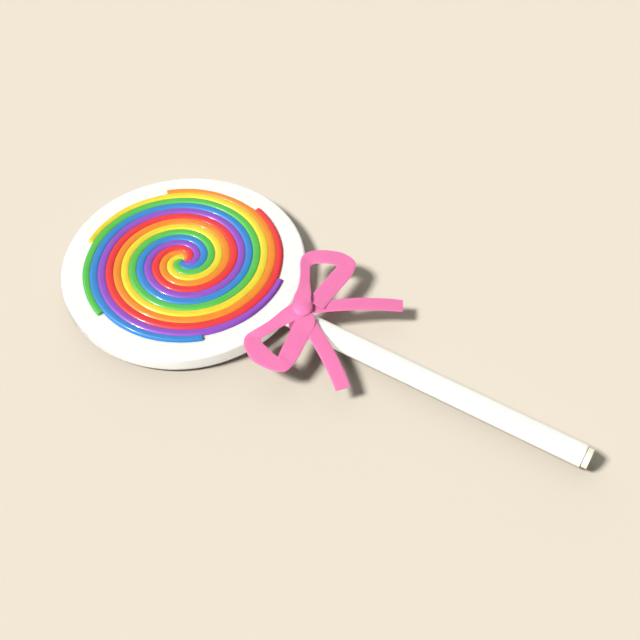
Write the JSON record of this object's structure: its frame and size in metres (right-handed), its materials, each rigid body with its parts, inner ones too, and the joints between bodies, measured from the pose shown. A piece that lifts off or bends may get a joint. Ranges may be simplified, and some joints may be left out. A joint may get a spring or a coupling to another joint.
{
  "type": "swirl lollipop",
  "caption": "Flat round swirl lollipop on a straight stick: candy ropes wound in a rainbow spiral on a white sugar disc, with a ribbon bow tied beside it.",
  "frame": {"origin": "middle of the disc's flat back, which is the face it rests on", "axes": "+X along the stick, from the disc to the stick's free end; +Z out of the swirled face"},
  "size_m": [0.1813, 0.08, 0.0119],
  "materials": {
    "white_sugar": "smooth glossy boiled sugar, opaque white",
    "red_candy": "glossy boiled sugar, red",
    "orange_candy": "glossy boiled sugar, orange",
    "yellow_candy": "glossy boiled sugar, yellow",
    "green_candy": "glossy boiled sugar, green",
    "blue_candy": "glossy boiled sugar, blue",
    "purple_candy": "glossy boiled sugar, purple",
    "stick_paper": "tightly rolled white paper, satin",
    "plug_paper": "cream pressed paper, matte",
    "pink_ribbon": "pink satin ribbon"
  },
  "bodies": {
    "root": {"disc": "white_sugar", "rope_red": "red_candy", "rope_orange": "orange_candy", "rope_yellow": "yellow_candy", "rope_green": "green_candy", "rope_blue": "blue_candy", "rope_purple": "purple_candy", "stick": "stick_paper", "stick_plug": "plug_paper", "bow_band": "pink_ribbon", "bow_knot": "pink_ribbon", "bow_loop_upper": "pink_ribbon", "bow_loop_lower": "pink_ribbon", "bow_tail_upper": "pink_ribbon", "bow_tail_lower": "pink_ribbon"}
  },
  "joints": []
}
